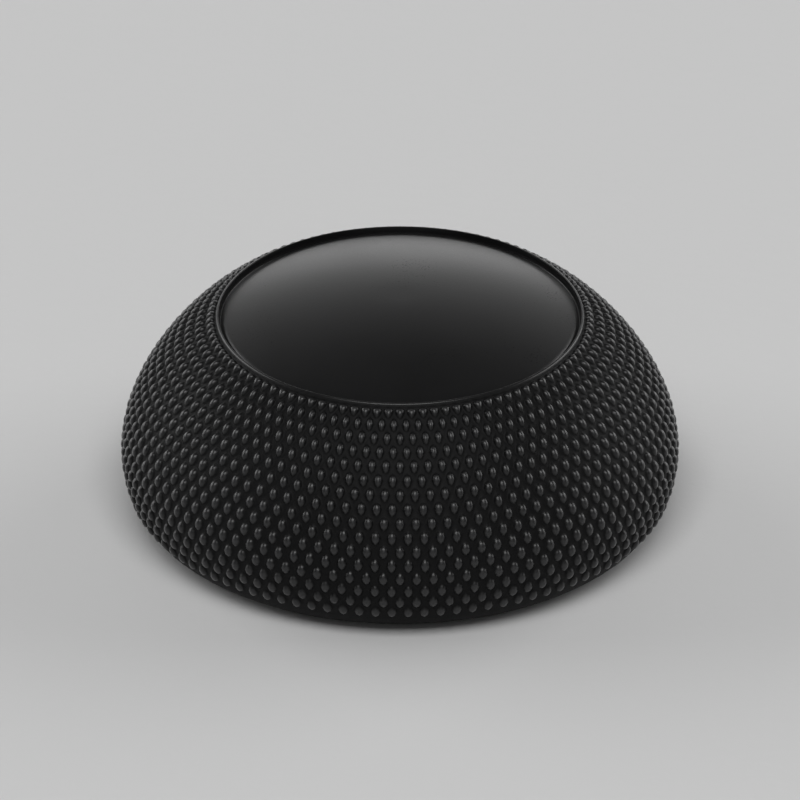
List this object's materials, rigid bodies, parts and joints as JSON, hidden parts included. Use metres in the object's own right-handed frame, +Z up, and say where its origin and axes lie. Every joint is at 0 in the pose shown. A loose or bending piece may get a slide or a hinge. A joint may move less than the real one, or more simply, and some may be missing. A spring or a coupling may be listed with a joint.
{
  "type": "controller thumb grip",
  "caption": "Slip-on silicone cap for a game controller's thumbstick: domed top inside a crisp crown, knurled flaring side, rolled edge and an undercut socket below.",
  "frame": {"origin": "centre of the foot, on the cap's axis, in the plane that the cap stands on", "axes": "+Z up along the cap's axis, from the open socket towards the domed top; X and Y are free, because the cap is round"},
  "size_m": [0.0188, 0.0188, 0.0082],
  "materials": {
    "silicone": "matte black moulded silicone"
  },
  "bodies": {
    "root": {"thumb_grip": "silicone"}
  },
  "joints": []
}
